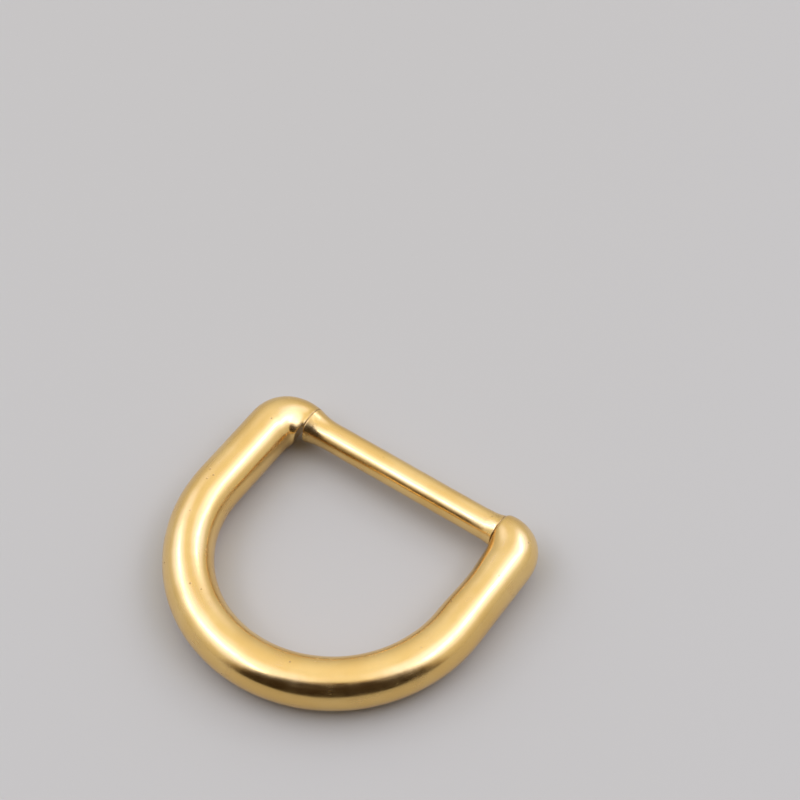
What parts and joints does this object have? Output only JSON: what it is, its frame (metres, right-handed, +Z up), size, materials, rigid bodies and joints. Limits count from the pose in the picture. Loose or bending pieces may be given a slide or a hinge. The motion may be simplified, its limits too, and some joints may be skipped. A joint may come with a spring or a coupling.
{
  "type": "d ring",
  "caption": "Cast brass D ring: a thick round wire bent to a half round bow with short arms, closed by a thinner straight bar that a strap loops around.",
  "frame": {"origin": "centre of the ring's outer box, on the surface that it lies on", "axes": "+Z up through the opening, +X along the straight bar, +Y from the bow towards the bar"},
  "size_m": [0.0372, 0.0332, 0.0056],
  "materials": {
    "brass": "hand polished cast brass, warm yellow, with fine pits and scratches"
  },
  "bodies": {
    "root": {"d_ring": "brass"}
  },
  "joints": []
}
